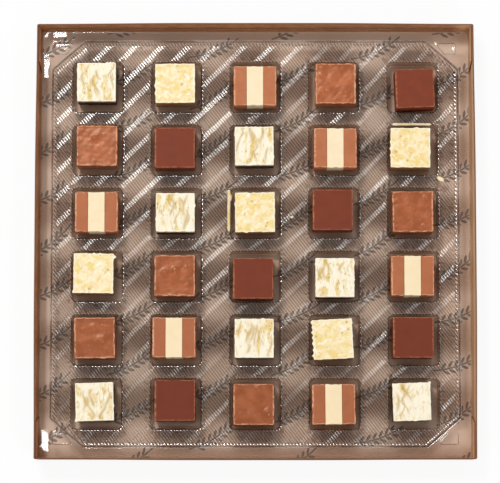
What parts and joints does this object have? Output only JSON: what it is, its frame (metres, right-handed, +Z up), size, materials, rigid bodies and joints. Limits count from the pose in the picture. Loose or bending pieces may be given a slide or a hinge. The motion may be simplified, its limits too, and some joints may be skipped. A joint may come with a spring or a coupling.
{
  "type": "chocolate box",
  "caption": "Open square card base of a chocolate box with a clear moulded insert, holding cube chocolates of several kinds that lift out of their pockets one by one.",
  "frame": {"origin": "middle of the carton's underside", "axes": "+Z up out of the open top, +X to the right and +Y to the back as the box is read from the front"},
  "size_m": [0.197, 0.196, 0.0177],
  "materials": {
    "card": "printed satin",
    "clear_sheet": "gloss",
    "dark_body": "satin",
    "white_top": "satin",
    "nutty_white": "satin",
    "milk_layer": "satin",
    "cream_layer": "satin",
    "milk_nut": "satin gloss",
    "dark": "satin gloss"
  },
  "bodies": {
    "carton": {"carton_base": "card"},
    "insert": {"insert_row_1": "clear_sheet", "insert_row_2": "clear_sheet", "insert_row_3": "clear_sheet", "insert_row_4": "clear_sheet", "insert_row_5": "clear_sheet", "insert_row_6": "clear_sheet"},
    "choc_r1c1": {"marbled_r1c1_body": "dark_body", "marbled_r1c1_top": "white_top"},
    "choc_r1c2": {"nutty_r1c2": "nutty_white"},
    "choc_r1c3": {"layered_r1c3_left": "milk_layer", "layered_r1c3_centre": "cream_layer", "layered_r1c3_right": "milk_layer"},
    "choc_r1c4": {"milk_r1c4": "milk_nut"},
    "choc_r1c5": {"dark_r1c5": "dark"},
    "choc_r2c1": {"milk_r2c1": "milk_nut"},
    "choc_r2c2": {"dark_r2c2": "dark"},
    "choc_r2c3": {"marbled_r2c3_body": "dark_body", "marbled_r2c3_top": "white_top"},
    "choc_r2c4": {"layered_r2c4_left": "milk_layer", "layered_r2c4_centre": "cream_layer", "layered_r2c4_right": "milk_layer"},
    "choc_r2c5": {"nutty_r2c5": "nutty_white"},
    "choc_r3c1": {"layered_r3c1_left": "milk_layer", "layered_r3c1_centre": "cream_layer", "layered_r3c1_right": "milk_layer"},
    "choc_r3c2": {"marbled_r3c2_body": "dark_body", "marbled_r3c2_top": "white_top"},
    "choc_r3c3": {"nutty_r3c3": "nutty_white"},
    "choc_r3c4": {"dark_r3c4": "dark"},
    "choc_r3c5": {"milk_r3c5": "milk_nut"},
    "choc_r4c1": {"nutty_r4c1": "nutty_white"},
    "choc_r4c2": {"milk_r4c2": "milk_nut"},
    "choc_r4c3": {"dark_r4c3": "dark"},
    "choc_r4c4": {"marbled_r4c4_body": "dark_body", "marbled_r4c4_top": "white_top"},
    "choc_r4c5": {"layered_r4c5_left": "milk_layer", "layered_r4c5_centre": "cream_layer", "layered_r4c5_right": "milk_layer"},
    "choc_r5c1": {"milk_r5c1": "milk_nut"},
    "choc_r5c2": {"layered_r5c2_left": "milk_layer", "layered_r5c2_centre": "cream_layer", "layered_r5c2_right": "milk_layer"},
    "choc_r5c3": {"marbled_r5c3_body": "dark_body", "marbled_r5c3_top": "white_top"},
    "choc_r5c4": {"nutty_r5c4": "nutty_white"},
    "choc_r5c5": {"dark_r5c5": "dark"},
    "choc_r6c1": {"marbled_r6c1_body": "dark_body", "marbled_r6c1_top": "white_top"},
    "choc_r6c2": {"dark_r6c2": "dark"},
    "choc_r6c3": {"milk_r6c3": "milk_nut"},
    "choc_r6c4": {"layered_r6c4_left": "milk_layer", "layered_r6c4_centre": "cream_layer", "layered_r6c4_right": "milk_layer"},
    "choc_r6c5": {"marbled_r6c5_body": "dark_body", "marbled_r6c5_top": "white_top"}
  },
  "joints": [
    {"name": "insert_lift", "type": "slide", "parent": "carton", "child": "insert", "axis": [0, 0, 1], "range_m": [0, 0.03]},
    {"name": "lift_r1c1", "type": "slide", "parent": "insert", "child": "choc_r1c1", "axis": [0, 0, 1], "range_m": [0, 0.03]},
    {"name": "lift_r1c2", "type": "slide", "parent": "insert", "child": "choc_r1c2", "axis": [0, 0, 1], "range_m": [0, 0.03]},
    {"name": "lift_r1c3", "type": "slide", "parent": "insert", "child": "choc_r1c3", "axis": [0, 0, 1], "range_m": [0, 0.03]},
    {"name": "lift_r1c4", "type": "slide", "parent": "insert", "child": "choc_r1c4", "axis": [0, 0, 1], "range_m": [0, 0.03]},
    {"name": "lift_r1c5", "type": "slide", "parent": "insert", "child": "choc_r1c5", "axis": [0, 0, 1], "range_m": [0, 0.03]},
    {"name": "lift_r2c1", "type": "slide", "parent": "insert", "child": "choc_r2c1", "axis": [0, 0, 1], "range_m": [0, 0.03]},
    {"name": "lift_r2c2", "type": "slide", "parent": "insert", "child": "choc_r2c2", "axis": [0, 0, 1], "range_m": [0, 0.03]},
    {"name": "lift_r2c3", "type": "slide", "parent": "insert", "child": "choc_r2c3", "axis": [0, 0, 1], "range_m": [0, 0.03]},
    {"name": "lift_r2c4", "type": "slide", "parent": "insert", "child": "choc_r2c4", "axis": [0, 0, 1], "range_m": [0, 0.03]},
    {"name": "lift_r2c5", "type": "slide", "parent": "insert", "child": "choc_r2c5", "axis": [0, 0, 1], "range_m": [0, 0.03]},
    {"name": "lift_r3c1", "type": "slide", "parent": "insert", "child": "choc_r3c1", "axis": [0, 0, 1], "range_m": [0, 0.03]},
    {"name": "lift_r3c2", "type": "slide", "parent": "insert", "child": "choc_r3c2", "axis": [0, 0, 1], "range_m": [0, 0.03]},
    {"name": "lift_r3c3", "type": "slide", "parent": "insert", "child": "choc_r3c3", "axis": [0, 0, 1], "range_m": [0, 0.03]},
    {"name": "lift_r3c4", "type": "slide", "parent": "insert", "child": "choc_r3c4", "axis": [0, 0, 1], "range_m": [0, 0.03]},
    {"name": "lift_r3c5", "type": "slide", "parent": "insert", "child": "choc_r3c5", "axis": [0, 0, 1], "range_m": [0, 0.03]},
    {"name": "lift_r4c1", "type": "slide", "parent": "insert", "child": "choc_r4c1", "axis": [0, 0, 1], "range_m": [0, 0.03]},
    {"name": "lift_r4c2", "type": "slide", "parent": "insert", "child": "choc_r4c2", "axis": [0, 0, 1], "range_m": [0, 0.03]},
    {"name": "lift_r4c3", "type": "slide", "parent": "insert", "child": "choc_r4c3", "axis": [0, 0, 1], "range_m": [0, 0.03]},
    {"name": "lift_r4c4", "type": "slide", "parent": "insert", "child": "choc_r4c4", "axis": [0, 0, 1], "range_m": [0, 0.03]},
    {"name": "lift_r4c5", "type": "slide", "parent": "insert", "child": "choc_r4c5", "axis": [0, 0, 1], "range_m": [0, 0.03]},
    {"name": "lift_r5c1", "type": "slide", "parent": "insert", "child": "choc_r5c1", "axis": [0, 0, 1], "range_m": [0, 0.03]},
    {"name": "lift_r5c2", "type": "slide", "parent": "insert", "child": "choc_r5c2", "axis": [0, 0, 1], "range_m": [0, 0.03]},
    {"name": "lift_r5c3", "type": "slide", "parent": "insert", "child": "choc_r5c3", "axis": [0, 0, 1], "range_m": [0, 0.03]},
    {"name": "lift_r5c4", "type": "slide", "parent": "insert", "child": "choc_r5c4", "axis": [0, 0, 1], "range_m": [0, 0.03]},
    {"name": "lift_r5c5", "type": "slide", "parent": "insert", "child": "choc_r5c5", "axis": [0, 0, 1], "range_m": [0, 0.03]},
    {"name": "lift_r6c1", "type": "slide", "parent": "insert", "child": "choc_r6c1", "axis": [0, 0, 1], "range_m": [0, 0.03]},
    {"name": "lift_r6c2", "type": "slide", "parent": "insert", "child": "choc_r6c2", "axis": [0, 0, 1], "range_m": [0, 0.03]},
    {"name": "lift_r6c3", "type": "slide", "parent": "insert", "child": "choc_r6c3", "axis": [0, 0, 1], "range_m": [0, 0.03]},
    {"name": "lift_r6c4", "type": "slide", "parent": "insert", "child": "choc_r6c4", "axis": [0, 0, 1], "range_m": [0, 0.03]},
    {"name": "lift_r6c5", "type": "slide", "parent": "insert", "child": "choc_r6c5", "axis": [0, 0, 1], "range_m": [0, 0.03]}
  ]
}
